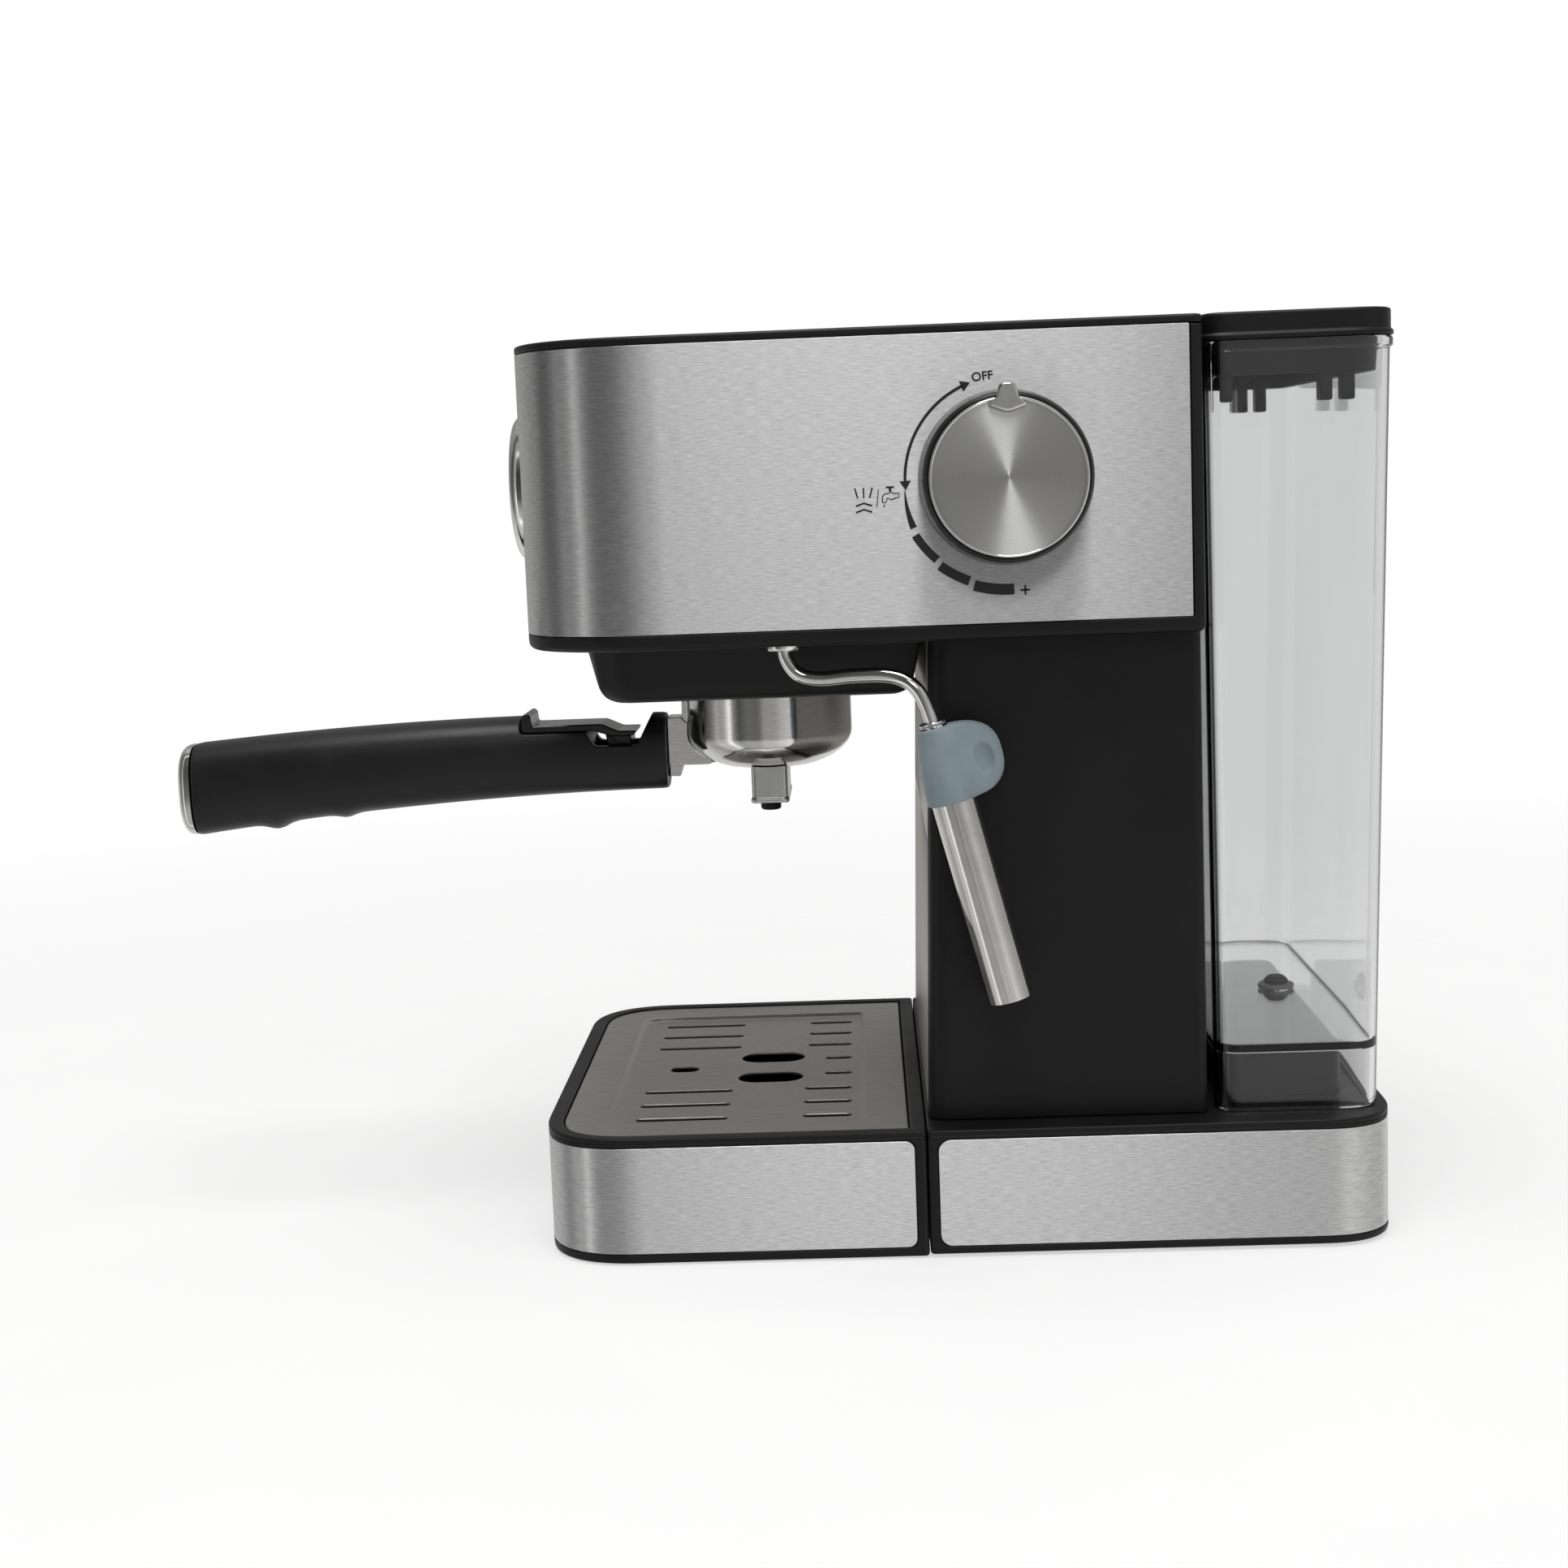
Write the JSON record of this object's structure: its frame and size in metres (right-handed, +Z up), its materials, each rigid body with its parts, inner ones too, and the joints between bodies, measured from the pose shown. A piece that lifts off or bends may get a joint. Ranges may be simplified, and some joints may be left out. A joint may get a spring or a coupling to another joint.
{
  "type": "espresso machine",
  "caption": "Pump espresso machine with twist-in portafilter, swivelling steam wand, side steam knob, pressure gauge, sliding drip tray and lift-off rear water tank.",
  "frame": {"origin": "middle of the bounding box of the whole machine, handle and knob included, on the counter it stands on", "axes": "+X across the machine towards the steam knob, +Y from the front to the water tank, +Z up"},
  "size_m": [0.2218, 0.4344, 0.3075],
  "materials": {
    "black_plastic": "satin black moulded plastic",
    "gloss_black": "gloss black plastic",
    "brushed_steel": "stainless steel, brushed lengthways",
    "plate_steel": "satin stainless steel",
    "chrome": "polished",
    "cast_metal": "cast, as made",
    "brass": "turned",
    "rubber": "matt",
    "silicone": "soft blue-grey silicone, slightly translucent",
    "dial_white": "printed dial",
    "needle_red": "painted",
    "clear_plastic": "clear moulded plastic",
    "seal_grey": "grey seal"
  },
  "bodies": {
    "machine": {"base_tub": "black_plastic", "base_steel_band": "brushed_steel", "base_bottom_plate": "black_plastic", "cord_gland": "rubber", "base_screw_rear_left": "cast_metal", "base_screw_rear_right": "cast_metal", "base_screw_front_left": "cast_metal", "base_screw_front_right": "cast_metal", "foot_rear_left": "rubber", "foot_rear_right": "rubber", "foot_front_left": "rubber", "foot_front_right": "rubber", "tank_dock": "black_plastic", "column_shell": "black_plastic", "column_front_panel": "brushed_steel", "head_chassis": "black_plastic", "head_steel_band": "brushed_steel", "top_cover": "black_plastic", "cup_warming_plate": "brushed_steel", "gauge_body": "black_plastic", "gauge_bezel": "chrome", "gauge_dial": "dial_white", "gauge_lens": "clear_plastic", "steam_valve": "brass", "group_housing": "black_plastic", "group_head": "cast_metal", "group_gasket": "rubber", "shower_screen": "chrome", "boiler": "cast_metal", "pump": "cast_metal", "wand_swivel_nut": "chrome"},
    "steam_knob": {"steam_knob_body": "black_plastic", "steam_knob_face": "chrome", "steam_knob_shaft": "brass"},
    "steam_wand": {"wand_pipe": "chrome", "wand_collar": "chrome", "wand_grip": "silicone", "wand_sleeve": "brushed_steel", "wand_nozzle": "cast_metal"},
    "portafilter": {"portafilter_bowl": "chrome", "filter_basket": "chrome", "spout": "chrome", "spout_nozzle_left": "black_plastic", "spout_nozzle_right": "black_plastic", "portafilter_handle": "black_plastic", "handle_end_cap": "chrome", "clip_pin": "cast_metal"},
    "basket_clip": {"basket_clip": "gloss_black"},
    "drip_tray": {"tray_tub": "black_plastic", "tray_steel_band": "brushed_steel"},
    "drip_plate": {"drip_plate": "plate_steel"},
    "water_tank": {"tank_body": "clear_plastic", "tank_valve_seat": "seal_grey", "lid_hinge_bracket": "black_plastic"},
    "tank_lid": {"tank_lid": "black_plastic"},
    "tank_valve": {"tank_valve_plunger": "rubber"},
    "power_button": {"power_button": "gloss_black"},
    "one_cup_button": {"one_cup_button": "gloss_black"},
    "two_cup_button": {"two_cup_button": "gloss_black"},
    "gauge_needle": {"gauge_needle": "needle_red"}
  },
  "joints": [
    {"name": "steam_knob_turn", "type": "hinge", "parent": "machine", "child": "steam_knob", "pos_m": [0.0891, 0.0841, 0.2578], "axis": [1, 0, 0], "range_deg": [0, 180]},
    {"name": "steam_wand_swivel", "type": "hinge", "parent": "machine", "child": "steam_wand", "pos_m": [0.0761, 0.0106, 0.206], "axis": [0, 0, -1], "range_deg": [0, 110]},
    {"name": "portafilter_twist", "type": "hinge", "parent": "machine", "child": "portafilter", "pos_m": [-0.0109, 0.0016, 0.186], "axis": [0, 0, -1], "range_deg": [0, 45]},
    {"name": "basket_clip_hinge", "type": "hinge", "parent": "portafilter", "child": "basket_clip", "pos_m": [-0.0109, -0.0524, 0.163], "axis": [-1, 0, 0], "range_deg": [0, 12]},
    {"name": "drip_tray_slide", "type": "slide", "parent": "machine", "child": "drip_tray", "axis": [0, -1, 0], "range_m": [0, 0.13]},
    {"name": "drip_plate_lift", "type": "slide", "parent": "drip_tray", "child": "drip_plate", "axis": [0, 0, 1], "range_m": [0, 0.05]},
    {"name": "water_tank_lift", "type": "slide", "parent": "machine", "child": "water_tank", "axis": [0, 0, 1], "range_m": [0, 0.12]},
    {"name": "tank_lid_hinge", "type": "hinge", "parent": "water_tank", "child": "tank_lid", "pos_m": [-0.0109, 0.2148, 0.2935], "axis": [-1, 0, 0], "range_deg": [0, 95]},
    {"name": "tank_valve_slide", "type": "slide", "parent": "water_tank", "child": "tank_valve", "axis": [0, 0, 1], "range_m": [0, 0.003], "stiffness_N_per_m": 60, "springref_m": -0.001},
    {"name": "power_button_press", "type": "slide", "parent": "machine", "child": "power_button", "axis": [0, 0, -1], "range_m": [0, 0.0016], "stiffness_N_per_m": 250, "springref_m": -0.001},
    {"name": "one_cup_button_press", "type": "slide", "parent": "machine", "child": "one_cup_button", "axis": [0, 0, -1], "range_m": [0, 0.0016], "stiffness_N_per_m": 250, "springref_m": -0.001},
    {"name": "two_cup_button_press", "type": "slide", "parent": "machine", "child": "two_cup_button", "axis": [0, 0, -1], "range_m": [0, 0.0016], "stiffness_N_per_m": 250, "springref_m": -0.001},
    {"name": "gauge_needle_turn", "type": "hinge", "parent": "machine", "child": "gauge_needle", "pos_m": [-0.0109, -0.0815, 0.26], "axis": [0, 1, 0], "range_deg": [0, 240], "stiffness_Nm_per_rad": 0.0004, "springref_deg": -17.19}
  ]
}
